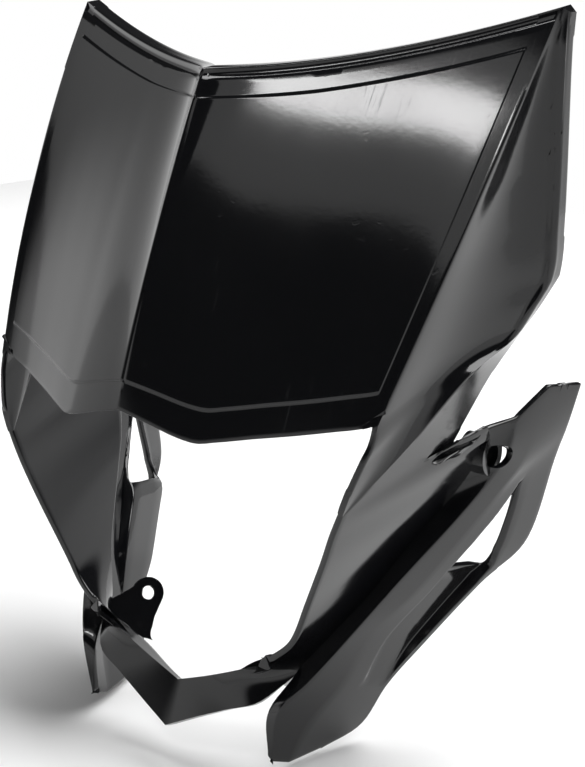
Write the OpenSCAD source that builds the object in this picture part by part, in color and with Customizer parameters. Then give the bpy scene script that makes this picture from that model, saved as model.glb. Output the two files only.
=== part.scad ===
// Headlight fairing of an off-road motorcycle: one moulded plastic shell, in millimetres.
// X runs to the rider's left (the right of someone facing the lamp), Y to the rear, Z up.
// Y and Z sizes are measured from the top of the centre ridge; the finished part is then moved so
// that the origin is the middle of the line through the side holes.

/* [Front panel] */
// top corner to top corner
mask_w = 270; // [240:1:300]
// how far the top corners stand above the ridge top
top_rise = 26; // [14:1:34]
// how far the top corners lie behind the ridge top
top_sweep = 72; // [60:1:84]
// how far the centre ridge stands out of the panel at the top
nose_h = 6; // [2:0.5:9]
// ridge top down to the brow's middle
brow_drop = 141; // [128:1:152]
// ridge top forward to the brow's middle
brow_reach = 62; // [50:1:74]
// brow end to brow end
brow_w = 218; // [200:1:232]
// how far the brow's ends lie behind its middle
brow_sweep = 37; // [28:1:46]
// how much lower than its middle the brow's two points are
brow_dip = 9.4; // [3:0.2:14]
// centre to each of the brow's points
brow_point = 36; // [24:1:48]
// outward bow of the panel down its length
panel_bow = 3; // [0:0.2:6]
// depth of the brow's turned-in edge
brow_return = 9; // [4:0.5:12]

/* [Rim] */
// widest place, at the rim
rim_w = 283; // [274:1:300]
// how far the rim lies behind the ridge top
rim_y = 70; // [62:1:80]
// ridge top down to the rim's lower corner
rim_low = 88; // [76:1:98]
// width of the raised bead round the panel
bead_w = 6; // [3:0.5:9]
// height of that bead
bead_h = 1.3; // [0:0.1:2]
// how far the rim turns back behind its edge
rim_return = 6; // [3:0.5:9]
// how far the cheek is hollowed between panel and rim
cheek_hollow = 7; // [2:0.5:11]
// ridge top down to the lamp opening's top corners
open_top = 140; // [132:1:148]

/* [Lamp opening and chin] */
// width of the lamp opening near its lower corners
open_low_w = 132; // [112:1:150]
// ridge top down to those corners
open_low = 249; // [238:1:258]
// ridge top forward to the opening's lower edge
open_y = 26; // [18:1:34]
// ridge top down to the opening's lowest place, on the centre line
open_end = 284; // [274:1:292]
// ridge top down to the chin's lowest place
chin_low = 305.5; // [296:1:312]
// ridge top forward to the chin's lowest place
chin_y = 36.5; // [28:0.5:44]
// depth of the chin's turned-in shelf
shelf = 17; // [8:0.5:22]

/* [Wings] */
// flank width where the wing leaves it, side to side
crease_w = 197; // [188:1:206]
// how far behind the ridge top that place is
crease_y = 44; // [36:1:52]
// ridge top down to that place
crease_z = 201; // [194:1:208]
// across the upper tips
wing_w = 282; // [268:1:296]
// ridge top back to the upper tips
wing_y = 106; // [96:1:116]
// ridge top down to the upper tips
wing_top = 147; // [140:1:154]
// ridge top down to the wing's rear corner
wing_corner = 225; // [216:1:234]
// ridge top down to the lower tips
tip_low = 307; // [298:1:312]
// across the lower tips
tip_w = 109; // [98:1:120]
// how far the wing's ridge stands off the flank
blade_h = 6; // [3:0.5:9]
// depth of the scoop
scoop_d = 9; // [4:0.5:12]

/* [Fixings] */
// the moulding's wall
wall = 3; // [2.2:0.1:4]
// radius of the two holes in the wings
side_r = 5.5; // [4:0.25:7]
// ridge top back to those holes
side_y = 60; // [54:1:66]
// ridge top down to those holes
side_z = 172; // [166:1:178]
// wall round each hole
boss_wall = 4; // [2.5:0.25:5]
// hole in each lower ear
ear_r = 3.5; // [2.5:0.25:4.5]
// ear hole to ear hole
ear_w = 100; // [90:1:108]
// ridge top back to the ear holes
ear_y = 10; // [5:0.5:15]
// ridge top down to the ear holes
ear_z = 266; // [260:1:272]

/* [Hidden] */
rows = 10;      // steps down the panel
cols = 8;      // steps from ridge to crease
low_n = 14;      // steps down the side wall under the brow
cross_n = 5;     // steps across it
wing_n = 20;    // steps down the wing
fine = 96;
half = mask_w / 2;
brow_x = brow_w / 2;
rim_x = rim_w / 2;
wing_x = wing_w / 2;
cx = crease_w / 2;
lowx = open_low_w / 2;

// outer top corner, brow corner and the places that the side wall is drawn through
corner = [half, top_sweep, top_rise];
brow_end = [brow_x, brow_sweep - brow_reach, -open_top + 3];

function mix(a, b, t) = a + (b - a) * t;
function bend(a, b, c, d, t) = 0.5 * (2 * b + (c - a) * t + (2 * a - 5 * b + 4 * c - d) * t * t
    + (3 * b - a - 3 * c + d) * t * t * t);
// a smooth line through the places in p, at t from 0 to 1
function along(p, t) = let(n = len(p) - 1, k = min(floor(t * n), n - 1))
    bend(p[max(k - 1, 0)], p[k], p[k + 1], p[min(k + 2, n)], t * n - k);
// straight runs through the same places
function runs(p, t) = let(n = len(p) - 1, k = min(floor(t * n), n - 1)) mix(p[k], p[k + 1], t * n - k);
function smooth(t) = let(c = max(0, min(1, t))) c * c * (3 - 2 * c);

// top edge and brow, from the centre (u = 0) to the crease (u = 1)
function top_edge(u) = [half * u,
    (top_sweep - nose_h) * u + nose_h * (1 - exp(-half * u / 6)), top_rise * pow(u, 1.7)];
function brow_edge(u) = let(x = brow_x * u, p = brow_point / brow_x)
    [x, -brow_reach + (u < p ? 0.16 * brow_sweep * u / p : mix(0.16 * brow_sweep, brow_sweep,
        (u - p) / (1 - p))),
    u < p ? -brow_drop - brow_dip * u / p
        : mix(-brow_drop - brow_dip, -open_top + 3, pow((u - p) / (1 - p), 1.15))];
// the crease bows more than the ridge
function bow(u, v) = (1 - pow(2 * v - 1, 6)) * [panel_bow * u * u, -panel_bow * (1 + 0.5 * u), 0];
function panel(u, v) = mix(top_edge(u), brow_edge(u), v) + bow(u, v);

// unit direction out of the panel
function unit(a) = a / max(norm(a), 1e-6);
function panel_out(u, v) = unit(cross(panel(u, v) - panel(u, min(v + 0.02, 1.02)),
    panel(min(u + 0.02, 1.02), v) - panel(u, v))) * -1;
// the halves lap by this much over the centre line
lap = 1;
function lapped(p) = [abs(p[0]) < 0.01 ? -lap : p[0], p[1], p[2]];
// bead profile: d is the distance from the edge
function bead(d) = bead_h * smooth(d / 1.5) * (1 - smooth((d - bead_w + 1.5) / 1.5));
// the side wall: each line runs from the top corner to the chin's centre
function crease(v) = panel(1, v);
front = [corner + [0, -3, -2], crease(0.14), crease(0.28), crease(0.46), crease(0.62), crease(0.78),
    crease(0.93), [brow_x, -open_y, -open_top], [brow_x - 6, -open_y - 8, -open_top - 24],
    [brow_x - 16, -open_y - 8.5, -open_top - 50], [brow_x - 29, -open_y - 4, -open_top - 80],
    [lowx + 5, -open_y - 1, -open_low + 12], [lowx - 3, -open_y, -open_low - 4],
    [lowx * 0.72, -open_y, mix(-open_low, -open_end, 0.38)],
    [lowx * 0.36, -open_y, mix(-open_low, -open_end, 0.71)], [0, -open_y, -open_end]];
back = [corner + [3, 5, -2], [rim_x - 3, rim_y + 2, 4], [rim_x - 1, rim_y, -18], [rim_x, rim_y, -44],
    [rim_x, rim_y, -68], [rim_x - 1, rim_y, -rim_low], [rim_x - 9, rim_y + 1, -rim_low - 22],
    [rim_x - 17, rim_y + 1, -rim_low - 46], [rim_x - 24, side_y + 4, -side_z + 12],
    [cx + 8, mix(crease_y, side_y, 0.6), -crease_z + 16],
    [cx - 8, crease_y - 12, -crease_z - 15], [cx - 21, crease_y - 33, -crease_z - 40],
    [cx - 32, crease_y - 48, -crease_z - 60], [cx - 46, -chin_y + 9, -crease_z - 78],
    [lowx * 0.38, -chin_y + 3, -chin_low + 13], [0, -chin_y, -chin_low]];
// how deep each station's hollow is, and how far back the crease with the flank lies
hollow = [0, 0.35, 0.7, 1, 1.05, 1, 0.6, 0.55, 0.2, 0, 0, 0, 0, 0, 0, 0];
// flank plane, where the side wall leaves the hollow
function flank_x(y, z) = 178.5 + (rim_x - 143) + 0.13 * y + 0.43 * z;
function side_pt(t, s) = let(f = along(front, t), b = along(back, t), h = along(hollow, t) * cheek_hollow,
    p = mix(f, b, s), w = sin(180 * pow(s, 1.15)))
    p + h * w * unit([-1, 0.45, 0.2]);
// the bead runs down the rim, which ends at this part of the line
rim_end = 6 / 15;
// places across a row that is w wide: even steps, then two close to the rim
function side_s(w) = let(a = max(0.5, 1 - 9 / w), b = max(0.75, 1 - 4.5 / w))
    [for (j = [1:cross_n]) a * j / cross_n, b, 1];
// rows as [place down the panel, place down the side wall]
panel_v = [0, 0.026, 0.041, 0.058, for (i = [1:rows]) mix(0.058, 0.972, i / rows), 1];
function side_t(v) = lookup(v, [[0, 0], [0.14, 1], [0.28, 2], [0.46, 3], [0.62, 4], [0.78, 5], [0.93, 6],
    [1, 6.6]]) / 15;
low_t = [for (i = [0:low_n]) mix(7.1 / 15, 1, i / low_n)];
function panel_row(v) = [for (j = [0:cols]) let(u = pow(j / cols, 1.25),
    p = panel(u, v) + bead(v * brow_drop * 1.1) * (u == 0 ? [0, -1, 0] : panel_out(u, v)))
    u == 0 ? lapped(p) : p];
function side_row(t) = let(e = side_pt(t, 1), w = norm(e - side_pt(t, 0))) [for (s = side_s(w)) lapped(side_pt(t, s)
    + bead(norm(e - side_pt(t, s))) * smooth((rim_end - t) * 20) * smooth(t * 15) * [0.85, -0.5, -0.1]),
    lapped(e) + [0, rim_return, 0]];
main_grid = [
    [for (p = panel_row(0)) p + [0, 1.5 * rim_return, 1.5], each side_row(0)],
    for (v = panel_v) [each panel_row(v), each side_row(side_t(v))],
    for (k = [0:low_n]) [for (j = [0:cols - 1]) panel_row(1)[j] + [0, brow_return, 1.5],
        lapped(along(front, low_t[k])), each side_row(low_t[k])]];
pn = len(panel_v);
main_on = [for (i = [0:len(main_grid) - 2]) [for (j = [0:len(main_grid[0]) - 2])
    j < cols ? (i < pn || (i == pn && j < cols - 1))
        : i > 0 && (j < len(main_grid[0]) - 2 || i > 3)]];

// the lamp opening's turned-in edge, deepest round the chin
lip_n = 16;
lip_grid = [for (i = [0:lip_n]) let(t = mix(7 / 15, 1, i / lip_n), f = along(front, t),
    d = mix(4, shelf, smooth((t - 9 / 15) / 0.2)) * (1 - 0.8 * smooth((t - 0.86) / 0.14)),
    k = smooth((t - 0.7) / 0.12))
    [for (s = [-0.08, 0.5, 1]) lapped(f) + s * d * unit([-0.15 - 0.15 * k * (1 - smooth((t - 0.9) / 0.1)), 1,
        0.18 - 0.75 * k])]];

// the wing: from the crease with the flank, over its ridge, to the rear edge
w_crease = [[wing_x - 20, side_y - 12, -side_z + 26], [cx + 15, side_y - 4, -side_z - 2],
    [cx, crease_y, -crease_z], [cx - 12, crease_y - 19, -crease_z - 24],
    [cx - 24, crease_y - 36, -crease_z - 44], [cx - 36, crease_y - 51, -crease_z - 64],
    [tip_w / 2 - 0.5, -open_y - 3.5, -open_end - 1], [tip_w / 2, -open_y - 3, -tip_low + 1]];
w_rear = [[wing_x, wing_y, -wing_top + 8], [wing_x - 7, wing_y - 3, mix(-wing_top, -wing_corner, 0.4)],
    [wing_x - 20, wing_y - 6, -wing_corner], [wing_x - 33, wing_y - 37, -wing_corner - 25],
    [wing_x - 44, wing_y - 58, -wing_corner - 45], [wing_x - 57, wing_y - 74, -wing_corner - 69],
    [tip_w / 2 + 14, -open_y + 43, -tip_low - 5], [tip_w / 2 + 5, -open_y + 14, -tip_low - 10]];
wing_out = unit([1, -0.24, -0.25]);
function wing_pt(t, s) = let(a = along(w_crease, t), b = along(w_rear, t),
    up = s < 0.3 ? smooth(s / 0.3) : 1 - smooth((s - 0.3) / 0.7) * 0.85,
    sc = smooth((0.8 - t) / 0.4) * smooth((t - 0.37) / 0.04) * smooth((s - 0.46) / 0.12)
        * smooth((0.88 - s) / 0.1))
    mix(a, b, s) + wing_out * (blade_h * up * smooth(t / 0.2) * smooth((1 - t) / 0.2) - scoop_d * sc);
wing_m = 9;
wing_grid = [for (i = [0:wing_n]) [for (j = [0:wing_m]) wing_pt(i / wing_n, j / wing_m)]];

// A shell of thickness t behind the grid g. Cells whose entry in on is false are left out.
module sheet(g, t, on = undef) {
  nr = len(g);
  nc = len(g[0]);
  function has(i, j) = i >= 0 && j >= 0 && i < nr - 1 && j < nc - 1 && (is_undef(on) || on[i][j]);
  cell = [for (i = [0:nr - 2]) [for (j = [0:nc - 2]) has(i, j)
      ? unit(cross(g[i + 1][j + 1] - g[i][j], g[i][j + 1] - g[i + 1][j])) : [0, 0, 0]]];
  function near(i, j) = [for (a = [i - 1, i]) for (b = [j - 1, j]) if (has(a, b)) cell[a][b]];
  function total(l) = [for (k = [0:2]) l * 0 == [] ? 0 : [for (v = l) 1] * [for (v = l) v[k]]];
  inner = [for (i = [0:nr - 1]) [for (j = [0:nc - 1]) let(l = near(i, j), m = len(l))
      m == 0 ? g[i][j] : let(s = total(l)) g[i][j] - t * min(1.5, m / max(norm(s), 0.1)) * unit(s)]];
  pts = [for (r = g) each r, for (r = inner) each r];
  m = nr * nc;
  function q(a, b, c, d) = [[a, b, c], [a, c, d]];
  faces = [for (i = [0:nr - 2]) for (j = [0:nc - 2]) if (has(i, j)) let(a = i * nc + j, b = a + 1,
      c = a + nc + 1, d = a + nc) each concat(q(a, b, c, d), q(m + a, m + d, m + c, m + b),
      has(i, j - 1) ? [] : q(a, d, m + d, m + a), has(i, j + 1) ? [] : q(b, m + b, m + c, c),
      has(i - 1, j) ? [] : q(a, m + a, m + b, b), has(i + 1, j) ? [] : q(d, c, m + c, m + d))];
  polyhedron(points = pts, faces = faces, convexity = 8);
}

// The notch between rim and wing, seen from the side as [y, z]: the rim's lower edge from the
// notch's inner end up to the rim's corner, the flank's edge, and the wing's upper edge.
rim_edge = [[side_y - 29, -side_z + 5], [side_y - 24, -side_z + 17], [side_y - 11, -side_z + 36.5],
    [side_y + 1, -rim_low - 27], [rim_y - 2, -rim_low - 5], [rim_y + 4, -rim_low + 1]];
flank_edge = [[side_y + 20, -side_z + 12], [side_y + 2, -side_z + 18], [side_y - 9, -side_z + 15.5],
    [side_y - 19, -side_z + 10.5]];
wing_edge = [[wing_y + 2, -wing_top - 3], [wing_y - 6, -wing_top + 5], [wing_y - 14, -wing_top + 6.5],
    [wing_y - 25, -wing_top + 3.5], [side_y + 8.5, -side_z + 19], [side_y + 3.5, -side_z + 16.5],
    [side_y - 2, -side_z + 16.5], [side_y - 9, -side_z + 18], [side_y - 16, -side_z + 18]];
far = wing_y + 40;
// the window at the scoop's upper end, and the inner wall along its front edge
win_top = [side_y + 14, -crease_z + 3];
win_low = [side_y - 4, -crease_z - 22.7];
window = [win_top, win_low, [side_y + 6, -crease_z - 30], [side_y + 12, -crease_z - 34],
    [side_y + 14, -crease_z - 39], [side_y + 18, -crease_z - 2]];
function on_wing(q) = [wing_x + 11.2 + 0.24 * (q[0] - 0) + 0.246 * q[1], q[0], q[1]];
inner_wall = [for (k = [0, 0.5, 1]) [for (t = [0, 0.5, 1])
    on_wing(mix(win_top, win_low, t) - [1.5, 0.5]) - (0.5 + k * scoop_d) * wing_out]];

module across(p) {
  rotate([90, 0, 90]) linear_extrude(height = wing_x + 40) polygon(p);
}

module half_shell() {
  difference() {
    union() {
      sheet(main_grid, wall, main_on);
      sheet(lip_grid, wall);
    }
    across(concat(rim_edge, [[far, -rim_low + 1]], [[far, -side_z + 12]], flank_edge));
  }
  difference() {
    sheet(wing_grid, wall);
    across(concat([[side_y - 30, -rim_low], [far, -rim_low], [far, -wing_top - 3]], wing_edge));
    across(window);
  }
  sheet(inner_wall, wall);
}

// lower ears: a round end on a stem that runs down to the shelf, and a web out to the flank
ear_axis = unit([-0.75, -0.5, 0.43]);
ear_side = unit([1, 0, 0] - ear_axis[0] * ear_axis);
ear_up = cross(ear_axis, ear_side);
module at_ear() {
  multmatrix([for (i = [0:2]) [ear_side[i], ear_up[i], ear_axis[i], [ear_w / 2, ear_y, -ear_z][i]]])
    children();
}
module ear() {
  at_ear() {
    translate([0, 0, -wall / 2]) cylinder(r = ear_r + 4.5, h = wall, $fn = 40);
    translate([0, -22, -wall / 2]) cube([ear_r + 10, 22, wall]);
    translate([-ear_r - 3, -20, -wall / 2]) cube([ear_r + 6, 20, wall]);
  }
}
module ear_bore() {
  at_ear() translate([0, 0, -wall]) cylinder(r = ear_r, h = 2 * wall, $fn = fine);
}
module boss() {
  translate([wing_x - 36, side_y, -side_z]) rotate([0, 90, 0])
    cylinder(r = side_r + boss_wall, h = 13, $fn = 48);
}
module side_bore(r) {
  translate([cx - 10, side_y, -side_z]) rotate([0, 90, 0]) cylinder(r = r, h = 50, $fn = fine);
}

// short rib behind the chin's fold
module chin_rib() {
  translate([-wall / 2, -chin_y + 1.8, -chin_low + 1.2]) cube([wall, 7, 9]);
}

module fairing() color([0.05, 0.05, 0.055]) translate([0, -side_y, side_z]) {
  difference() {
    resize([0, 0, 0]) difference() {
      union() {
      for (m = [0, 1]) mirror([m, 0, 0]) {
        half_shell();
        boss();
        ear();
      }
      chin_rib();
      }
      for (m = [0, 1]) mirror([m, 0, 0]) side_bore(side_r - 0.6);
    }
    for (m = [0, 1]) mirror([m, 0, 0]) {
      side_bore(side_r);
      ear_bore();
    }
  }
}

fairing();
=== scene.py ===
"""Headlight fairing of an off-road motorcycle: the detailed shell, its finish, the light and the camera.

Lengths of the shell are in millimetres from the top of the centre ridge: X to the right of someone
facing the lamp, Y to the rear, Z up. to_row moves them into the shared frame, in metres. A station
is a place's number along a line, by which neighbouring patches find their common border.
"""

import logging
import math
from dataclasses import dataclass, field
from enum import Enum
from typing import Optional, Sequence, Union

import bmesh
import bpy
import numpy as np
from mathutils import Matrix, Vector
from mathutils.bvhtree import BVHTree


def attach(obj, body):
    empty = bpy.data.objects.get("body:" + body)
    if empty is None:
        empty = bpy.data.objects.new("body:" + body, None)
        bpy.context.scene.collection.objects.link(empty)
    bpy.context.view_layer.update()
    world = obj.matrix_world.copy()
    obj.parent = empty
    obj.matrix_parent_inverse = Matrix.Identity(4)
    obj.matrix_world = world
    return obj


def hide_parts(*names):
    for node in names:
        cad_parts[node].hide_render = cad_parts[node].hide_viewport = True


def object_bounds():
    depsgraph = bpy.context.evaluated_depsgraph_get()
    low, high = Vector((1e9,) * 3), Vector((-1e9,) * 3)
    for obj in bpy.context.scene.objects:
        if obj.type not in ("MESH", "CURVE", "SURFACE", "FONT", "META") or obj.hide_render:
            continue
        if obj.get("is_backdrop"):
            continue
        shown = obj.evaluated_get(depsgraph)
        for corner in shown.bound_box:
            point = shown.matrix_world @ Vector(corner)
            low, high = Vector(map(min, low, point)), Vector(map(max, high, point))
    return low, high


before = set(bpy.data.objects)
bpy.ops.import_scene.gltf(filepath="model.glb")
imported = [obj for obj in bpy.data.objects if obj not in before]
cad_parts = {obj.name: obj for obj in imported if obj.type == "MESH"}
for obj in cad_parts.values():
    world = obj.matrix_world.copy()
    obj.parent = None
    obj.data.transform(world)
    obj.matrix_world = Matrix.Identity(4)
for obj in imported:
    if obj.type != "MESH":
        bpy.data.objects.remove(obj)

log = logging.getLogger("fairing")
CAD_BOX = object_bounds()
MM = 0.001
SIDE_HOLE = np.array([0.0, 60.0, -172.0])
WELD = 0.02
Face = list[int]


def smooth(t: np.ndarray) -> np.ndarray:
    """Soft step from 0 to 1."""
    c = np.clip(t, 0.0, 1.0)
    return c * c * (3 - 2 * c)


def unit(a: np.ndarray) -> np.ndarray:
    """Vectors along the last axis, each of length 1."""
    return a / np.maximum(np.linalg.norm(a, axis=-1, keepdims=True), 1e-9)


def to_row(p: Sequence[float]) -> tuple[float, float, float]:
    """Millimetres from the ridge's top to metres in the shared frame."""
    return ((p[0]) * MM, (p[1] - SIDE_HOLE[1]) * MM, (p[2] - SIDE_HOLE[2]) * MM)


def to_object(bm: bmesh.types.BMesh, name: str) -> bpy.types.Object:
    """Puts a mesh into the scene.

    Args:
        bm: the mesh, which is freed.
        name: name of the mesh and the object.
    Returns:
        The new object.
    """
    mesh = bpy.data.meshes.new(name)
    bm.to_mesh(mesh)
    bm.free()
    obj = bpy.data.objects.new(name, mesh)
    bpy.context.scene.collection.objects.link(obj)
    return obj


def spread(fixed: Sequence[float], even: np.ndarray, gap: float) -> np.ndarray:
    """Stations from 0 to 1 that are dense where a detail needs it.

    Args:
        fixed: stations at the details.
        even: evenly spaced stations for the rest.
        gap: an even station closer than this to a fixed one is left out.
    Returns:
        All stations in order, with 1 as the last.
    """
    free = [v for v in even if min(abs(v - f) for f in fixed) > gap]
    return np.array(sorted([*fixed, *free, 1.0]))


class Line:
    """A smooth line through places, each reached at its own station."""

    def __init__(self, rows: Sequence[Sequence[float]]) -> None:
        """Works out the slope at each place.

        Args:
            rows: station, x, y and z of each place.
        """
        a = np.array(rows, float)
        self.stations, self.places = a[:, 0], a[:, 1:]
        step = np.diff(self.stations)[:, None]
        slope = np.diff(self.places, axis=0) / step
        inner = (slope[:-1] * step[1:] + slope[1:] * step[:-1]) / (step[1:] + step[:-1])
        self.slopes = np.vstack([slope[:1], inner, slope[-1:]])

    def at(self, t: np.ndarray) -> np.ndarray:
        """Places on the line.

        Args:
            t: stations.
        Returns:
            One place per station.
        """
        k = self.stations
        t = np.clip(np.asarray(t, float), k[0], k[-1])
        i = np.clip(np.searchsorted(k, t, side="right") - 1, 0, len(k) - 2)
        h = (k[i + 1] - k[i])[..., None]
        s = (t[..., None] - k[i][..., None]) / h
        a, b, m, n = self.places[i], self.places[i + 1], self.slopes[i] * h, self.slopes[i + 1] * h
        return (
            (2 * s**3 - 3 * s**2 + 1) * a
            + (s**3 - 2 * s**2 + s) * m
            + (3 * s**2 - 2 * s**3) * b
            + (s**3 - s**2) * n
        )


@dataclass(frozen=True)
class Rounding:
    """How the sharp edges of a wall are rounded.

    An edge stays crisp where a neighbouring edge is too short for the rounding, measured against room.
    """

    radius: float = 0.8
    angle: float = 24.0
    segments: int = 3
    room: float = 1.15
    short: float = 0.4
    stray: float = 2.0
    crisp: tuple = ()

    def tight(self, bm: bmesh.types.BMesh, sharp: set) -> set:
        """Finds the vertices that have no room for a rounding.

        Args:
            bm: the wall.
            sharp: its sharp edges.
        Returns:
            Vertices at short edges, and those within reach of a crisp place on either side.
        """
        room = self.room * self.radius * MM
        found = {
            v
            for e in sharp
            for v in e.verts
            if any(k.calc_length() < (self.short * room if k in sharp else room) for k in v.link_edges)
        }
        for place, reach in self.crisp:
            right = Vector(to_row(place))
            left = Vector((-right.x, right.y, right.z))
            found |= {v for v in bm.verts if min((v.co - right).length, (v.co - left).length) < reach * MM}
        return found

    def apply(self, bm: bmesh.types.BMesh) -> None:
        """Rounds the edges, and brings back points that strayed from the wall.

        Args:
            bm: the wall.
        """
        limit = math.radians(self.angle)
        sharp = {e for e in bm.edges if len(e.link_faces) == 2 and e.calc_face_angle(0.0) > limit}
        tight = self.tight(bm, sharp)
        bare = BVHTree.FromBMesh(bm)
        bmesh.ops.bevel(
            bm,
            geom=[e for e in bm.edges if e in sharp and not tight.intersection(e.verts)],
            offset=self.radius * MM,
            offset_type="OFFSET",
            segments=self.segments,
            profile=0.5,
            affect="EDGES",
            clamp_overlap=False,
        )
        for v in bm.verts:
            near, _, _, away = bare.find_nearest(v.co)
            if away > self.stray * self.radius * MM:
                v.co = near


@dataclass
class Sheet:
    """Patches of quads that share their borders, thickened to a closed wall with rounded edges."""

    wall: float
    mitre: float = 1.5
    points: list[np.ndarray] = field(default_factory=list)
    quads: list[tuple[int, int, int, int]] = field(default_factory=list)
    count: int = 0

    def patch(self, grid: np.ndarray, on: Optional[np.ndarray] = None, flip: bool = False) -> None:
        """Adds a grid of places.

        Args:
            grid: rows by columns by 3.
            on: cells that are kept, or None for all.
            flip: True where the grid's normals point into the wall.
        """
        n, m = grid.shape[:2]
        self.points.append(grid.reshape(-1, 3))
        for i in range(n - 1):
            for j in range(m - 1):
                if on is None or on[i, j]:
                    a = self.count + i * m + j
                    q = (a, a + 1, a + m + 1, a + m)
                    self.quads.append(q[::-1] if flip else q)
        self.count += n * m

    def welded(self, mirrored: bool) -> tuple[np.ndarray, list[Face]]:
        """Joins the patches where their places meet.

        Args:
            mirrored: True adds the left half.
        Returns:
            The places, and the faces without those that shrank to a line.
        """
        p = np.vstack(self.points)
        faces = [list(q) for q in self.quads]
        if mirrored:
            n = len(p)
            p = np.vstack([p, p * [-1, 1, 1]])
            faces += [[v + n for v in reversed(f)] for f in faces]
        key: dict[tuple[int, int, int], int] = {}
        ids = np.array([key.setdefault(tuple(np.round(q / WELD).astype(int)), len(key)) for q in p])
        base = np.zeros((len(key), 3))
        base[ids] = p
        kept = []
        for f in faces:
            g = [int(ids[v]) for v in f]
            g = [v for k, v in enumerate(g) if v != g[k - 1]]
            if len(set(g)) == len(g) and len(g) > 2:
                kept.append(g)
        return base, kept

    def inner(self, base: np.ndarray, faces: list[Face]) -> np.ndarray:
        """The wall's other side, mitred at its folds.

        Args:
            base: places of the outer side.
            faces: faces of the outer side.
        Returns:
            One place behind each outer place.
        """
        total, number = np.zeros_like(base), np.zeros(len(base))
        for f in faces:
            a = base[f[2]] - base[f[0]]
            b = (base[f[3]] if len(f) > 3 else base[f[0]]) - base[f[1]]
            normal = unit(np.cross(a, b))
            for v in f:
                total[v] += normal
                number[v] += 1
        length = np.linalg.norm(total, axis=1)
        mitre = np.minimum(self.mitre, number / np.maximum(length, 0.1))
        return base - self.wall * mitre[:, None] * unit(total)

    @staticmethod
    def closed(faces: list[Face], count: int) -> list[Face]:
        """Faces of both sides and of the wall's open borders.

        Args:
            faces: faces of the outer side.
            count: number of outer places.
        Returns:
            Faces that close the wall.
        """
        edges = {(f[k - 1], v): True for f in faces for k, v in enumerate(f)}
        both = [list(f) for f in faces] + [[v + count for v in reversed(f)] for f in faces]
        return both + [[b, a, a + count, b + count] for a, b in edges if (b, a) not in edges]

    def solid(self, name: str, mirrored: bool, rounding: Rounding) -> bpy.types.Object:
        """Builds the wall.

        Args:
            name: name of the new object.
            mirrored: True joins the left half on the centre plane.
            rounding: how its edges are rounded.
        Returns:
            A closed mesh object in the shared frame.
        """
        base, faces = self.welded(mirrored)
        closed = self.closed(faces, len(base))
        places = np.vstack([base, self.inner(base, faces)])
        bm = bmesh.new()
        made = {v: bm.verts.new(to_row(places[v])) for v in sorted({v for f in closed for v in f})}
        for f in closed:
            try:
                bm.faces.new([made[v] for v in f])
            except ValueError:
                log.info("a face was there already in %s", name)
        bm.normal_update()
        rounding.apply(bm)
        bmesh.ops.recalc_face_normals(bm, faces=bm.faces)
        return to_object(bm, name)


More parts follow.
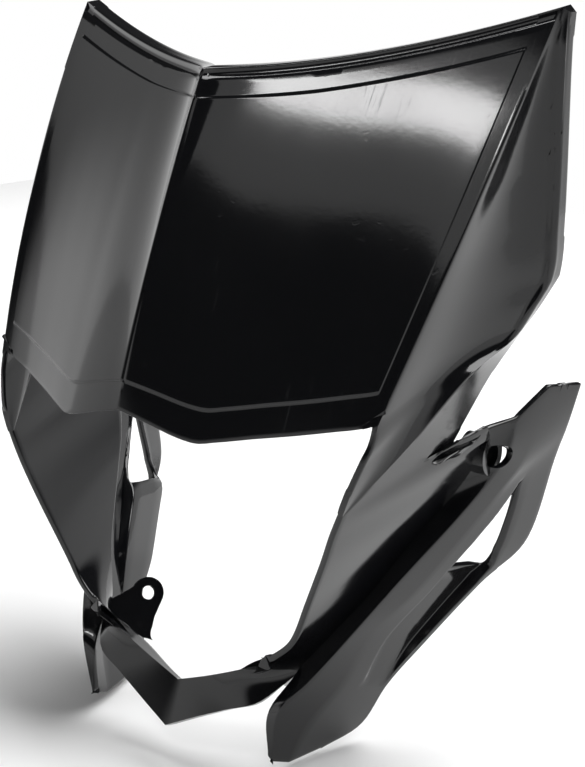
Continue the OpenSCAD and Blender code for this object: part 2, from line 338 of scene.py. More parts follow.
@dataclass(frozen=True)
class Panel:
    """The front panel with its centre ridge, from the top edge to the brow.

    u runs from the ridge (0) to the crease beside the cheek (1), v from the top edge (0) to the brow (1).
    """

    half: float = 135.0
    sweep: float = 72.0
    rise: float = 26.0
    rise_power: float = 1.7
    nose: float = 6.0
    nose_reach: float = 6.0
    height: float = 155.0
    bow: float = 3.0
    bow_power: float = 2.2
    bead: float = 1.1
    bead_width: float = 5.0
    bead_edge: float = 1.4
    recess: float = 0.45
    recess_right: float = 0.945
    recess_top: float = 0.085
    recess_low: float = 0.915
    recess_edge: float = 0.006
    recess_side_edge: float = 0.7
    brow_half: float = 109.0
    bead_rows: tuple = (0, 0.0105, 0.0225, 0.0285, 0.034)
    step_rows: tuple = (-0.004, 0.0, 0.003, 0.006, 0.010)
    ridge_columns: tuple = (0, 0.008, 0.018, 0.03, 0.045, 0.062, 0.082)
    step_columns: tuple = (-0.009, -0.0045, -0.002, 0.0, 0.004)
    row_gap: float = 0.009
    column_gap: float = 0.012
    brow: Line = Line(
        [
            (0, 0, -61.9, -140.9),
            (14, 14, -60.6, -144.4),
            (34, 34, -57.0, -150.0),
            (37, 37, -56.0, -150.6),
            (46, 46, -51.8, -149.6),
            (60, 60, -44.6, -147.4),
            (75, 75, -37.2, -145.2),
            (90, 90, -30.6, -142.4),
            (103, 103, -26.4, -139.4),
            (109, 109, -25.0, -137.0),
        ]
    )

    def top(self, u: np.ndarray) -> np.ndarray:
        """The top edge.

        Args:
            u: places across.
        Returns:
            Places on the edge.
        """
        x = self.half * u
        back = (self.sweep - self.nose) * u + self.nose * (1 - np.exp(-x / self.nose_reach))
        return np.stack([x, back, self.rise * u**self.rise_power], -1)

    def base(self, u: np.ndarray, v: np.ndarray) -> np.ndarray:
        """The bare panel, without bead and recess.

        Args:
            u: places across.
            v: places down.
        Returns:
            Places on the panel.
        """
        low = self.brow.at(self.brow_half * u)
        a = self.top(u)
        bend = 1 - np.abs(2 * v - 1) ** self.bow_power
        push = np.stack([self.bow * u * u, -self.bow * (1 + 0.5 * u), 0 * u], -1)
        return a + (low - a) * v[..., None] + bend[..., None] * push

    def out(self, u: np.ndarray, v: np.ndarray) -> np.ndarray:
        """Unit normals out of the panel.

        Args:
            u: places across.
            v: places down.
        Returns:
            One normal per place.
        """
        e = 0.01
        across = self.base(u + e, v) - self.base(u, v)
        down = self.base(u, v + e) - self.base(u, v)
        return unit(np.cross(down, across)) * -1

    def lift(self, u: np.ndarray, v: np.ndarray) -> np.ndarray:
        """Height of the bead along the top less the depth of the recess for the number plate.

        Args:
            u: places across.
            v: places down.
        Returns:
            One height per place.
        """
        d = v * self.height
        far = (d - self.bead_width + self.bead_edge) / self.bead_edge
        bead = self.bead * smooth(d / self.bead_edge) * (1 - smooth(far))
        e = self.recess_edge
        inside = (
            smooth((self.recess_right - u) / e / self.recess_side_edge)
            * smooth((v - self.recess_top) / e)
            * smooth((self.recess_low - v) / e)
        )
        return bead - self.recess * inside

    def rows(self) -> np.ndarray:
        """Places down the panel, close together at the bead and the recess."""
        fixed = [*self.bead_rows]
        fixed += [self.recess_top + k for k in self.step_rows]
        fixed += [self.recess_low - k for k in self.step_rows]
        return spread(fixed, np.linspace(0.05, 0.985, 44), self.row_gap)

    def columns(self) -> np.ndarray:
        """Places across the panel, close together at the ridge and the recess."""
        fixed = [*self.ridge_columns, *(self.recess_right + k for k in self.step_columns)]
        return spread(fixed, np.linspace(0.105, 0.985, 36), self.column_gap)

    def grid(self) -> np.ndarray:
        """The panel's right half.

        Returns:
            Rows of places from the top down.
        """
        u, v = np.meshgrid(self.columns(), self.rows())
        p = self.base(u, v)
        out = self.out(np.maximum(u, 1e-4), v)
        out[u == 0] = [0, -1, 0]
        return p + self.lift(u, v)[..., None] * out


@dataclass(frozen=True)
class Side:
    """Cheek, rim and flank, from the panel's crease and the lamp opening back to rim and wing.

    The crease, the opening, the fold at the rim and the flank's rear border share their stations. At the
    station meet the fold reaches the opening and the cheek ends.
    """

    depth: float = 7.0
    hollow_way: tuple = (-1, 0.45, 0.2)
    hollow_power: float = 1.15
    bead: float = 1.3
    bead_width: float = 6.0
    bead_edge: float = 1.5
    bead_way: tuple = (0.85, -0.5, -0.1)
    rim_return: float = 6.0
    brow_end: float = 6.6
    meet: float = 8.55
    end: float = 15.0
    turns: int = 3
    hollow: tuple = (0, 0.35, 0.7, 1, 1.05, 1, 0.8, 0.5, 0.2, 0)
    crease_stations: tuple = (0, 1, 2, 3, 4, 5, 6, 6.6)
    crease_rows: tuple = (0, 0.14, 0.28, 0.46, 0.62, 0.78, 0.93, 1)
    rim_edge: tuple = (6.2, 5.3, 4.4, 3.0, 1.5, 0)
    flank_columns: tuple = (0, 0.04, 0.09, 0.16, 0.24, 0.33, 0.43, 0.53, 0.63, 0.73, 0.82, 0.9, 0.96, 1)
    opening: Line = Line(
        [
            (6.6, 109, -25, -137),
            (7.0, 108.3, -28, -146),
            (7.5, 105.9, -31.1, -154.1),
            (8.0, 102.6, -34.1, -164.3),
            (8.55, 98.2, -34.7, -176.5),
            (9.0, 93.6, -34.3, -187.6),
            (9.5, 88.6, -32.6, -200.2),
            (10.0, 82.7, -30.6, -213.6),
            (10.5, 76.4, -28.3, -227.4),
            (11.0, 70, -26, -241.6),
            (11.4, 66, -25.7, -248.8),
            (12.0, 57.6, -26.3, -256.9),
            (13.0, 40, -26, -266.5),
            (14.0, 20, -26, -276),
            (15.0, 0, -26.3, -284.2),
        ]
    )
    fold: Line = Line(
        [
            (0, 137.6, 76, 24),
            (0.5, 138.2, 73.5, 14),
            (1, 138.8, 72, 4),
            (2, 140.0, 70, -18),
            (3, 140.4, 70, -44),
            (4, 140.4, 70, -68),
            (4.8, 139.8, 70, -84),
            (5.1, 138.8, 69, -90),
            (5.5, 135.5, 63, -99.5),
            (6, 131, 56, -111),
            (7, 122.5, 26, -126),
            (8, 110.5, -9, -154),
            (8.55, 98.2, -34.7, -176.5),
        ]
    )
    back: Line = Line(
        [
            (5, 139.2, 75.5, -88.5),
            (5.5, 134.3, 67.2, -101.5),
            (6, 128.5, 61.5, -113),
            (7, 119.5, 51, -132.5),
            (7.6, 114.8, 42.5, -147.5),
            (7.95, 110.6, 31, -164.5),
            (8.05, 110.6, 31.5, -165.5),
            (8.25, 114.5, 41.5, -160.5),
            (8.5, 118.6, 51, -154.8),
            (8.75, 118.2, 56.5, -163),
            (9, 112.8, 56, -174.5),
            (9.5, 106, 52, -188),
            (10, 98.5, 44, -201),
            (10.5, 91.7, 33.5, -212.8),
            (11, 84, 21, -229.5),
            (11.5, 77, 10.5, -242),
            (12, 70, 1.9, -253.3),
            (12.5, 62.8, -7, -265),
            (13, 57, -17, -272.5),
            (13.5, 48, -28, -281),
            (14, 33, -31.5, -287.5),
            (14.5, 17, -34.5, -295),
            (15, 0, -36.5, -304),
        ]
    )

    def crease(self, panel: Panel, t: np.ndarray) -> np.ndarray:
        """Front edge of the side: the panel's crease, then the lamp opening.

        Args:
            panel: the panel beside it.
            t: stations.
        Returns:
            Places on the edge.
        """
        v = np.interp(t, self.crease_stations, self.crease_rows)
        high = panel.base(np.ones_like(v), v)
        return np.where((t <= self.brow_end)[:, None], high, self.opening.at(t))

    def beside_panel(self, panel: Panel) -> np.ndarray:
        """Stations beside the panel's rows."""
        return np.interp(panel.rows(), self.crease_rows, self.crease_stations)

    def beside_cheek(self) -> np.ndarray:
        """Stations of the lamp opening where the cheek reaches it."""
        return np.linspace(6.75, self.meet, 14)

    def below_cheek(self) -> np.ndarray:
        """Stations of the lamp opening below the cheek, down to the chin's centre."""
        return np.concatenate([np.linspace(8.62, 9.4, 9), np.linspace(9.55, self.end, 46)])

    def across_cheek(self, width: np.ndarray) -> np.ndarray:
        """Shares across the cheek, with the last columns at fixed distances from the rim.

        Args:
            width: the cheek's width at each station.
        Returns:
            A row of shares from 0 to 1 for each station.
        """
        last = 0.86
        even = np.concatenate([[0, 0.04], np.linspace(0.09, last, 22)])
        rim = np.array(self.rim_edge)
        most = np.linspace(0.13, 0, len(rim))
        rows = []
        for w in width:
            near = 1 - np.minimum(rim / max(w, 1e-6), most)
            rows.append(np.concatenate([even * (near[0] - 0.02) / last, near]))
        return np.array(rows)

    def cheek(self, panel: Panel) -> np.ndarray:
        """The hollowed cheek between the crease and the rim.

        Args:
            panel: the panel beside it.
        Returns:
            Rows of places from the crease to the fold.
        """
        t = np.concatenate([self.beside_panel(panel), self.beside_cheek()])
        a = self.crease(panel, t)[:, None]
        b = self.fold.at(t)[:, None]
        width = np.linalg.norm(b - a, axis=-1)
        s = self.across_cheek(width[:, 0])[..., None]
        p = a + (b - a) * s
        share = np.interp(t, np.append(np.arange(9), self.meet), self.hollow)
        deep = share[:, None, None] * self.depth
        p = p + deep * np.sin(np.pi * s**self.hollow_power) * unit(np.array(self.hollow_way))
        d = (1 - s) * width[:, :, None]
        far = (d - self.bead_width + self.bead_edge) / self.bead_edge
        bead = smooth(d / self.bead_edge) * (1 - smooth(far))
        fade = smooth((6.5 - t) / 1.2) * smooth(t * 1.2 + 0.15)
        return p + self.bead * bead * fade[:, None, None] * np.array(self.bead_way)

    def flank(self, panel: Panel) -> np.ndarray:
        """Rim return above, then the flank, from the fold or the opening to the rear border.

        Args:
            panel: the panel beside it.
        Returns:
            Rows of places.
        """
        t = np.concatenate([self.beside_panel(panel), self.beside_cheek(), self.below_cheek()])
        a = np.where((t <= self.meet)[:, None], self.fold.at(t), self.opening.at(t))
        back = self.back.at(np.maximum(t, 5.0))
        turned = self.fold.at(t) + [0, self.rim_return, 0]
        k = smooth((t - 4.2) / 1.0)[:, None]
        b = turned * (1 - k) + back * k
        wide = np.array(self.flank_columns)
        slim = np.minimum(1, np.arange(len(wide)) / self.turns)
        s = slim * (1 - k) + wide * k
        return a[:, None] + (b - a)[:, None] * s[..., None]


@dataclass(frozen=True)
class Wing:
    """The wing with its ridge, scoop and window, from the flank's crease to the rear edge.

    Stations run from the upper end (0) to the tip (8). Between the face line and the rear edge the scoop
    spans the shares left to right and is sunk by depth times deep.
    """

    depth: float = 7.0
    out: tuple = (1, -0.38, -0.236)
    into_flank: float = 2.2
    under_flank: float = 1.2
    flank_out: tuple = (1, -0.13, -0.43)
    tip_start: float = 5.9
    tip_blend: float = 0.6
    crease_stations: tuple = (0, 1, 2, 3, 4, 5, 6)
    flank_stations: tuple = (8.62, 9.03, 9.65, 10, 10.85, 11.65, 12.5)
    scoop_stations: tuple = (2.1, 2.4, 2.8, 3.2, 3.6, 4, 5, 6, 8)
    left: tuple = (0.4, 0.34, 0.25, 0.22, 0.22, 0.26, 0.32, 0.42, 0.5)
    right: tuple = (0.45, 0.54, 0.61, 0.7, 0.86, 0.93, 0.93, 0.93, 0.93)
    deep_stations: tuple = (2, 2.35, 3.3, 3.9, 5, 6)
    deep: tuple = (0, 0.4, 0.45, 0.9, 0.6, 0)
    slope: float = 0.035
    window_top: float = 2.3
    window_low: float = 3.67
    to_ridge: tuple = (0, 0.3, 0.6, 0.88, 1)
    to_face: tuple = (0.15, 0.4, 0.65, 0.9, 1)
    to_scoop: tuple = (0.3, 0.6, 0.85)
    scoop_floor: tuple = (0.25, 0.5, 0.75)
    to_rear: tuple = (0.3, 0.6, 0.85, 1)
    tip: Line = Line([(5.9, 60.5, -8.5, -267), (7, 53.6, -27, -284), (8, 54.2, -28, -306)])
    ridge: Line = Line(
        [
            (0, 126, 66.8, -154),
            (1, 125, 62.5, -169),
            (2, 118.5, 57.5, -183),
            (3, 107.8, 42, -202.5),
            (4, 93, 18.5, -227.5),
            (5, 80.4, -1.5, -250),
            (6, 70, -17.5, -267.5),
            (7, 60, -28, -282),
            (8, 56, -27, -309),
        ]
    )
    face: Line = Line(
        [
            (0, 133.2, 84.5, -142),
            (1, 127.6, 75.5, -174),
            (2, 118.6, 64.5, -193),
            (3, 107.5, 48, -214),
            (4, 96, 31.5, -235),
            (5, 84, 12.5, -252.5),
            (6, 75.4, 2.5, -275.5),
            (7, 66, -12, -293),
            (8, 58.5, -17, -313.5),
        ]
    )
    rear: Line = Line(
        [
            (0, 140.2, 104.8, -144.5),
            (1, 135.3, 103.4, -165),
            (2, 130.2, 102, -182.7),
            (3, 119, 99.2, -226),
            (4, 106, 76.8, -244.4),
            (5, 89.5, 50.8, -271.5),
            (6, 80, 34.5, -288.5),
            (7, 71.2, 25, -308.5),
            (8, 62.5, 4, -314.5),
        ]
    )

    def crease(self, side: Side, t: np.ndarray) -> np.ndarray:
        """Where the wing leaves the flank, sunk into the flank's wall, then the tip's front edge.

        Args:
            side: the side that the wing grows from.
            t: stations.
        Returns:
            Places on the crease.
        """
        at = np.interp(t, self.crease_stations, self.flank_stations)
        p = side.back.at(at)
        inward = unit(side.opening.at(at) - p) * self.into_flank
        sunk = inward - unit(np.array(self.flank_out)) * self.under_flank
        k = smooth((t - self.tip_start) / self.tip_blend)[:, None]
        return (p + sunk) * (1 - k) + self.tip.at(t) * k

    def scoop(self, t: np.ndarray, face: np.ndarray, rear: np.ndarray) -> list[np.ndarray]:
        """Columns from the face line over the scoop to the rear edge.

        Args:
            t: stations.
            face: places on the face line.
            rear: places on the rear edge.
        Returns:
            One array of places per column.
        """
        left = np.interp(t, self.scoop_stations, self.left)
        right = np.interp(t, self.scoop_stations, self.right)
        deep = self.depth * np.interp(t, self.deep_stations, self.deep)
        out = unit(np.array(self.out))
        gap = np.minimum(self.slope, (right - left) * 0.3)
        shares = [(left * s, 0 * deep) for s in self.to_scoop]
        shares += [(left, 0 * deep), (left + gap, deep)]
        shares += [(left + gap + (right - left - 2 * gap) * s, deep) for s in self.scoop_floor]
        shares += [(right - gap, deep), (right, 0 * deep)]
        shares += [(right + (1 - right) * s, 0 * deep) for s in self.to_rear]
        return [face + (rear - face) * q[:, None] - out * drop[:, None] for q, drop in shares]

    def grid(self, side: Side) -> tuple[np.ndarray, np.ndarray]:
        """Rows of places down the wing.

        Args:
            side: the side that the wing grows from.
        Returns:
            The grid and its mask; cells of the window are off.
        """
        t = np.concatenate([np.linspace(0, 2.5, 16), np.linspace(2.62, 6.2, 32), np.linspace(6.35, 8, 12)])
        crease = self.crease(side, t)
        ridge, face, rear = (line.at(t) for line in (self.ridge, self.face, self.rear))
        columns = [crease + (ridge - crease) * s for s in self.to_ridge]
        columns += [ridge + (face - ridge) * s for s in self.to_face]
        floor = len(columns) + len(self.to_scoop) + 1
        columns += self.scoop(t, face, rear)
        grid = np.stack(columns, axis=1)
        mask = np.ones((len(t) - 1, len(columns) - 1), bool)
        open_rows = (t[:-1] >= self.window_top) & (t[1:] <= self.window_low)
        mask[open_rows, floor : floor + len(self.scoop_floor) + 1] = False
        return grid, mask


@dataclass
class Shell:
    """The whole moulded shell as one mesh."""

    wall: float = 3.0
    top_back: tuple = (0, 9.0, 1.0)
    rim_drop: float = -0.5
    brow_back: tuple = (0, 7.0, 1.2)
    chin_start: float = 12.2
    chin_depth: float = 3.0
    chin_more: float = 9.0
    crisp: tuple = (((136.5, 77, 26), 12.0), ((109, -25, -137), 3.0), ((110.5, 31, -165), 6.0))
    side_radius: float = 5.5
    side_x: float = 111.0
    side_length: float = 50.0
    boss_x: float = 111.5
    boss_radius: float = 9.5
    boss_length: float = 13.0
    ear_radius: float = 3.5
    ear_rim: float = 4.5
    ear_length: float = 8.0
    ear: tuple = (50.0, 10.0, -266.0)
    ear_axis: tuple = (-0.75, -0.5, 0.43)
    crumb: int = 100
    smooth_angle: float = 32.0
    panel: Panel = field(default_factory=Panel)
    side: Side = field(default_factory=Side)
    wing: Wing = field(default_factory=Wing)

    def top_return(self) -> np.ndarray:
        """The edge that turns back along the top, out to the rim's corner.

        Returns:
            Rows of places from the rear edge to the panel.
        """
        high = self.panel.grid()[0]
        cheek = self.side.cheek(self.panel)[0]
        path = np.vstack([high, cheek[1:]])
        k = np.concatenate([np.zeros(len(high)), np.linspace(0, 1, len(cheek) - 1)])[:, None]
        rim = np.array([0, self.side.rim_return, self.rim_drop])
        end = np.array(self.top_back) * (1 - k) + rim * k
        n = self.side.turns
        return np.array([path + end * k / n for k in range(n, -1, -1)])

    def brow_return(self) -> np.ndarray:
        """The edge that turns back under the brow."""
        brow = self.panel.grid()[-1]
        return np.array([brow + np.array(self.brow_back) * q for q in (0, 0.3, 0.65, 1)])

    def chin_return(self) -> np.ndarray:
        """The ledge that turns in behind the chin's upper edge.

        Returns:
            Rows of places from the edge inward.
        """
        t = self.side.below_cheek()
        t = t[t > self.chin_start]
        path = self.side.opening.at(t)
        s = (t - self.chin_start) / (self.side.end - self.chin_start)
        rise, fall = smooth(s / 0.25), smooth((s - 0.45) / 0.55)
        deep = self.chin_depth + self.chin_more * rise * (1 - 0.75 * fall)
        way = unit(np.stack([-0.3 * (1 - s), 1 + 0 * s, -0.55 - 0 * s], -1))
        end = way * deep[:, None]
        end[-1, 0] = 0
        return np.array([path + end * q for q in (0, 0.25, 0.5, 0.75, 1)])

    def skin(self) -> bpy.types.Object:
        """Panel, sides and turned edges of both halves.

        Returns:
            One closed object.
        """
        sheet = Sheet(self.wall)
        sheet.patch(self.panel.grid(), flip=True)
        sheet.patch(self.side.cheek(self.panel), flip=True)
        sheet.patch(self.side.flank(self.panel), flip=True)
        sheet.patch(self.top_return(), flip=True)
        sheet.patch(self.brow_return(), flip=True)
        sheet.patch(self.chin_return(), flip=True)
        return sheet.solid("skin", True, Rounding(crisp=self.crisp))

    def wings(self) -> list[bpy.types.Object]:
        """Right and left wing.

        Returns:
            Two closed objects.
        """
        grid, mask = self.wing.grid(self.side)
        made = []
        for m in (1, -1):
            sheet = Sheet(self.wall)
            sheet.patch(grid * [m, 1, 1], mask, flip=m > 0)
            made.append(sheet.solid(f"wing{m}", False, Rounding()))
        return made

    @staticmethod
    def rod(name: str, at: np.ndarray, axis: np.ndarray, radius: float, length: float) -> bpy.types.Object:
        """A round bar centred at a place.

        Args:
            name: name of the object.
            at: its middle.
            axis: its direction.
            radius: its radius.
            length: its length.
        Returns:
            The bar.
        """
        bm = bmesh.new()
        bmesh.ops.create_cone(
            bm, cap_ends=True, segments=64, radius1=radius * MM, radius2=radius * MM, depth=length * MM
        )
        turn = Vector((0, 0, 1)).rotation_difference(Vector(axis)).to_matrix().to_4x4()
        bm.transform(Matrix.Translation(to_row(at)) @ turn)
        return to_object(bm, name)

    def ear_at(self, m: int) -> tuple[np.ndarray, np.ndarray]:
        """Middle and axis of an ear's hole, m being 1 on the right and -1 on the left."""
        return np.array(self.ear) * [m, 1, 1], unit(np.array(self.ear_axis)) * [m, 1, 1]

    def ear_outline(self) -> list[tuple[float, float]]:
        """An ear seen along its hole: a round end on a stem that widens to the flank.

        Returns:
            Places across and up from the hole.
        """
        r = self.ear_radius + self.ear_rim
        arc = [(r * math.cos(a), r * math.sin(a)) for a in np.linspace(0, math.pi, 25)]
        turn = np.linspace(0, 1.5, 7)
        fillet = [(-r - 1 - 3.5 * (1 - math.cos(a)), -15 - 6 * math.sin(a)) for a in turn]
        return arc + [(-r, -10)] + fillet + [(r + 12, -24), (r + 9, -12), (r + 2, -3)]

    def ears(self) -> list[bpy.types.Object]:
        """The two lower ears.

        Returns:
            Two closed objects.
        """
        made = []
        outline = self.ear_outline()
        for m in (1, -1):
            at, axis = self.ear_at(m)
            side = unit(np.array([m, 0, 0]) - axis[0] * m * axis)
            up = np.cross(axis, side) * m
            bm = bmesh.new()
            low, high = (
                [bm.verts.new(to_row(at + side * x + up * y + axis * h)) for x, y in outline]
                for h in (-self.wall / 2, self.wall / 2)
            )
            bm.faces.new(low[::-1])
            bm.faces.new(high)
            for k in range(len(outline)):
                bm.faces.new([low[k - 1], low[k], high[k], high[k - 1]])
            bmesh.ops.recalc_face_normals(bm, faces=bm.faces)
            made.append(to_object(bm, f"ear{m}"))
        return made

    @staticmethod
    def combine(base: bpy.types.Object, other: bpy.types.Object, how: str) -> None:
        """Joins other to base or cuts it out, then deletes other.

        Args:
            base: the object that changes.
            other: the object that goes.
            how: UNION or DIFFERENCE.
        """
        mod = base.modifiers.new("join", "BOOLEAN")
        mod.operation = how
        mod.solver = "MANIFOLD"
        mod.object = other
        deps = bpy.context.evaluated_depsgraph_get()
        mesh = bpy.data.meshes.new_from_object(base.evaluated_get(deps))
        base.modifiers.clear()
        if len(mesh.polygons) > 0.5 * len(base.data.polygons):
            base.data = mesh
        else:
            log.warning("%s of %s failed", how, other.name)
        bpy.data.objects.remove(other)

    def drop_crumbs(self, body: bpy.types.Object) -> None:
        """Deletes the loose scraps of a few faces that the cuts leave.

        Args:
            body: the joined shell.
        """
        bm = bmesh.new()
        bm.from_mesh(body.data)
        left = set(bm.verts)
        while left:
            island, edge = set(), {left.pop()}
            while edge:
                island |= edge
                edge = {e.other_vert(v) for v in edge for e in v.link_edges} - island
            left -= island
            if len(island) < self.crumb:
                bmesh.ops.delete(bm, geom=list(island), context="VERTS")
        bm.to_mesh(body.data)
        bm.free()

    def build(self) -> bpy.types.Object:
        """The finished shell, its edges rounded and its faces smooth.

        Returns:
            The object fairing_shell.
        """
        across = np.array([1, 0, 0])
        hole_y, hole_z = SIDE_HOLE[1:]
        body = self.skin()
        for other in self.wings() + self.ears():
            self.combine(body, other, "UNION")
        for m in (1, -1):
            at = np.array([m * self.boss_x, hole_y, hole_z])
            self.combine(body, self.rod("boss", at, across, self.boss_radius, self.boss_length), "UNION")
        for m in (1, -1):
            at = np.array([m * self.side_x, hole_y, hole_z])
            hole = self.rod("hole", at, across, self.side_radius, self.side_length)
            self.combine(body, hole, "DIFFERENCE")
            hole = self.rod("hole", *self.ear_at(m), self.ear_radius, self.ear_length)
            self.combine(body, hole, "DIFFERENCE")
        self.drop_crumbs(body)
        body.name = "fairing_shell"
        body.data.shade_smooth()
        body.data.set_sharp_from_angle(angle=math.radians(self.smooth_angle))
        return body


class Value:
    """A number socket whose sums and products add Math nodes."""

    def __init__(self, nodes: "Nodes", socket: bpy.types.NodeSocket) -> None:
        """Wraps an output socket of a tree."""
        self.nodes = nodes
        self.socket = socket

    def output(self, name: str) -> "Value":
        """Another output of the same node."""
        return Value(self.nodes, self.socket.node.outputs[name])

    def math(self, how: str, *values: Union[float, "Value"]) -> "Value":
        """A Math node on the values."""
        return self.nodes.add("ShaderNodeMath", {"operation": how}, dict(enumerate(values)))

    def __add__(self, other: Union[float, "Value"]) -> "Value":
        """Sum."""
        return self.math("ADD", self, other)

    __radd__ = __add__

    def __mul__(self, other: Union[float, "Value"]) -> "Value":
        """Product."""
        return self.math("MULTIPLY", self, other)

    __rmul__ = __mul__

    def __sub__(self, other: Union[float, "Value"]) -> "Value":
        """Difference."""
        return self.math("SUBTRACT", self, other)

    def __rsub__(self, other: Union[float, "Value"]) -> "Value":
        """Difference the other way round."""
        return self.math("SUBTRACT", other, self)

    def above(self, edge: float, width: float) -> "Value":
        """0 below edge, 1 above edge + width, soft between."""
        ends = {"Value": self, "From Min": edge, "From Max": edge + width}
        return self.nodes.add("ShaderNodeMapRange", {"interpolation_type": "SMOOTHSTEP"}, ends)


class Nodes:
    """A node tree, with one method that adds any node."""

    def __init__(self, tree: bpy.types.NodeTree) -> None:
        """Wraps the tree of a material or world."""
        self.tree = tree

    def fill(self, node: bpy.types.Node, inputs: dict) -> None:
        """Sets or links sockets of a node.

        Args:
            node: the node.
            inputs: a value or a Value for each socket's name or number.
        """
        for key, value in inputs.items():
            if isinstance(value, Value):
                self.tree.links.new(value.socket, node.inputs[key])
            else:
                node.inputs[key].default_value = value

    def add(self, kind: str, settings: Optional[dict] = None, inputs: Optional[dict] = None) -> Value:
        """Adds a node.

        Args:
            kind: the node's type.
            settings: properties, set before the inputs.
            inputs: a value or a Value for each socket's name or number.
        Returns:
            Its first output in use.
        """
        node = self.tree.nodes.new(kind)
        for key, value in (settings or {}).items():
            setattr(node, key, value)
        self.fill(node, inputs or {})
        return Value(self, next(o for o in node.outputs if o.enabled))


@dataclass(frozen=True)
class GlossPlastic:
    """Gloss black moulded plastic: fine orange peel, faint flow streaks, specks and scuffs."""

    dark: tuple = (0.0045, 0.0047, 0.0055, 1)
    worn: tuple = (0.020, 0.020, 0.021, 1)
    rough: float = 0.075
    peel: float = 420.0
    wave: float = 38.0
    streak: tuple = (900.0, 60.0, 60.0)
    streak_turn: tuple = (0.3, 0.5, 0.9)
    patch: float = 14.0
    speck: float = 210.0
    bump: float = 0.12
    bump_height: float = 0.0002

    @staticmethod
    def noise(at: Value, scale: float, detail: float) -> Value:
        """A noise over the surface."""
        return at.nodes.add("ShaderNodeTexNoise", None, {"Vector": at, "Scale": scale, "Detail": detail})

    def make(self) -> bpy.types.Material:
        """Builds the material.

        Returns:
            The material for the slot shell.
        """
        material = bpy.data.materials.new("gloss_black_shell")
        material.use_nodes = True
        n = Nodes(material.node_tree)
        at = n.add("ShaderNodeTexCoord").output("Object")
        run = {"Vector": at, "Scale": self.streak, "Rotation": self.streak_turn}
        peel = self.noise(at, self.peel, 2.0)
        wave = self.noise(at, self.wave, 3.0)
        streak = self.noise(n.add("ShaderNodeMapping", None, run), 1.0, 4.0).above(0.60, 0.12)
        patch = self.noise(at, self.patch, 5.0).above(0.52, 0.2)
        speck = self.noise(at, self.speck, 1.0).above(0.72, 0.05)
        scuff = streak * patch
        tones = {0: scuff * 0.4 + speck * 0.2, 6: self.dark, 7: self.worn}
        height = peel * 0.35 + wave * 0.8 - speck * 0.25 + scuff * 0.1
        relief = {"Height": height, "Strength": self.bump, "Distance": self.bump_height}
        surface = {
            "Base Color": n.add("ShaderNodeMix", {"data_type": "RGBA"}, tones),
            "Roughness": self.rough + wave * 0.05 + scuff * 0.12 + patch * 0.03,
            "Normal": n.add("ShaderNodeBump", None, relief),
            "Specular IOR Level": 0.5,
            "IOR": 1.5,
        }
        n.fill(n.tree.nodes["Principled BSDF"], surface)
        return material


@dataclass(frozen=True)
class Lamp:
    """A soft rectangular light."""

    place: tuple
    aim: tuple
    width: float
    height: float
    power: float

    def make(self, name: str) -> None:
        """Puts the light into the scene.

        Args:
            name: name of the light.
        """
        data = bpy.data.lights.new(name, "AREA")
        data.shape, data.size, data.size_y, data.energy = "RECTANGLE", self.width, self.height, self.power
        lamp = bpy.data.objects.new(data.name, data)
        lamp.location = self.place
        way = Vector(self.aim) - Vector(self.place)
        lamp.rotation_euler = way.to_track_quat("-Z", "Y").to_euler()
        bpy.context.scene.collection.objects.link(lamp)


class Softbox(Enum):
    """The studio's lights."""

    GLOW = Lamp((0.0, -1.06, 1.42), (0, 0, 0.1), 1.5, 0.6, 2.6)
    PATCH = Lamp((0.02, -1.00, 1.42), (0, 0, 0.1), 0.17, 0.15, 1.5)
    LEFT = Lamp((-1.6, 0.15, 0.35), (0, 0, 0.05), 1.0, 1.3, 2.0)
    ABOVE = Lamp((0.5, 1.1, 2.4), (0.1, 0.3, -0.14), 3.0, 2.4, 150.0)


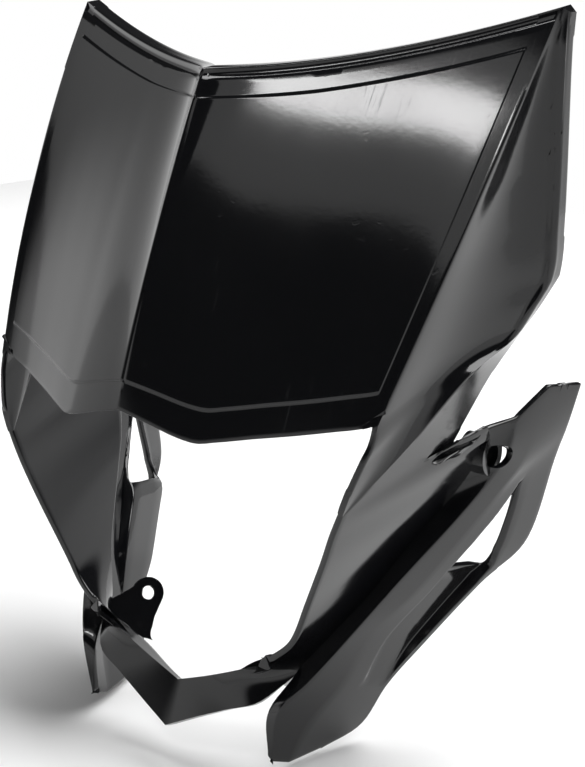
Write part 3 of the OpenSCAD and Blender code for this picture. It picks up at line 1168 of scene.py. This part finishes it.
@dataclass(frozen=True)
class Studio:
    """Floor, lights, world and camera."""

    lens: float = 65.71
    sensor: float = 36.0
    eye: tuple = (0.3948, -0.5465, 0.2089)
    right: tuple = (0.8146, 0.5800, 0.0)
    down: tuple = (0.1606, -0.2256, -0.9609)
    ahead: tuple = (-0.5573, 0.7828, -0.2770)
    floor_half: float = 1.5
    floor_tone: tuple = (0.86, 0.86, 0.86, 1)
    fill_light: float = 0.08
    wall_low: float = 0.16
    wall_high: float = 0.36
    ceiling: float = 0.03

    def floor(self, height: float) -> None:
        """A plain pale floor that takes the shadow.

        Args:
            height: its height in the shared frame.
        """
        bm = bmesh.new()
        bmesh.ops.create_grid(bm, x_segments=1, y_segments=1, size=self.floor_half)
        bm.transform(Matrix.Translation((0, 0, height)))
        plane = to_object(bm, "floor")
        material = bpy.data.materials.new("floor")
        material.use_nodes = True
        n = Nodes(material.node_tree)
        paint = {"Base Color": self.floor_tone, "Roughness": 0.9, "Specular IOR Level": 0.1}
        n.fill(n.tree.nodes["Principled BSDF"], paint)
        plane.data.materials.append(material)
        plane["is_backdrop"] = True

    def world(self) -> None:
        """A white surround with a dark ceiling for camera and reflections, and a low light on the rest."""
        world = bpy.data.worlds.new("studio")
        bpy.context.scene.world = world
        world.use_nodes = True
        n = Nodes(world.node_tree)
        path = n.add("ShaderNodeLightPath")
        seen = path.output("Is Camera Ray")
        for kind in ("Is Glossy Ray", "Is Transmission Ray"):
            seen = seen.math("MAXIMUM", seen, path.output(kind))
        way = n.add("ShaderNodeTexCoord").output("Generated")
        wall = {
            "Value": n.add("ShaderNodeSeparateXYZ", None, {0: way}).output("Z"),
            "From Min": self.wall_low,
            "From Max": self.wall_high,
            "To Min": 1.0,
            "To Max": self.ceiling,
        }
        white = n.add("ShaderNodeMapRange", {"interpolation_type": "SMOOTHSTEP"}, wall)
        strength = n.add("ShaderNodeMix", None, {0: seen, 2: self.fill_light, 3: white})
        n.fill(n.tree.nodes["Background"], {"Color": (1, 1, 1, 1), "Strength": strength})

    def camera(self) -> None:
        """The photograph's view."""
        data = bpy.data.cameras.new("camera")
        data.lens = self.lens
        data.sensor_width = self.sensor
        data.clip_start = 0.01
        cam = bpy.data.objects.new("camera", data)
        turn = Matrix((Vector(self.right), -Vector(self.down), -Vector(self.ahead))).transposed()
        cam.matrix_world = Matrix.Translation(self.eye) @ turn.to_4x4()
        bpy.context.scene.collection.objects.link(cam)
        bpy.context.scene.camera = cam


def main() -> None:
    """Builds the shell, dresses it and sets the stage."""
    logging.basicConfig(level=logging.INFO, format="%(message)s")
    studio = Studio()
    studio.camera()
    shell = Shell().build()
    shell.data.materials.clear()
    shell.data.materials.append(GlossPlastic().make())
    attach(shell, "root")
    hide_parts("fairing")
    studio.floor(CAD_BOX[0].z - 0.0005)
    for box in Softbox:
        box.value.make(box.name.lower())
    studio.world()
    bpy.context.scene.view_settings.view_transform = "Standard"
    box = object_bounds()
    faces = len(shell.data.polygons)
    log.info("fairing_shell: %d faces, box %s", faces, [[round(v, 4) for v in c] for c in box])


if __name__ == "__main__":
    main()
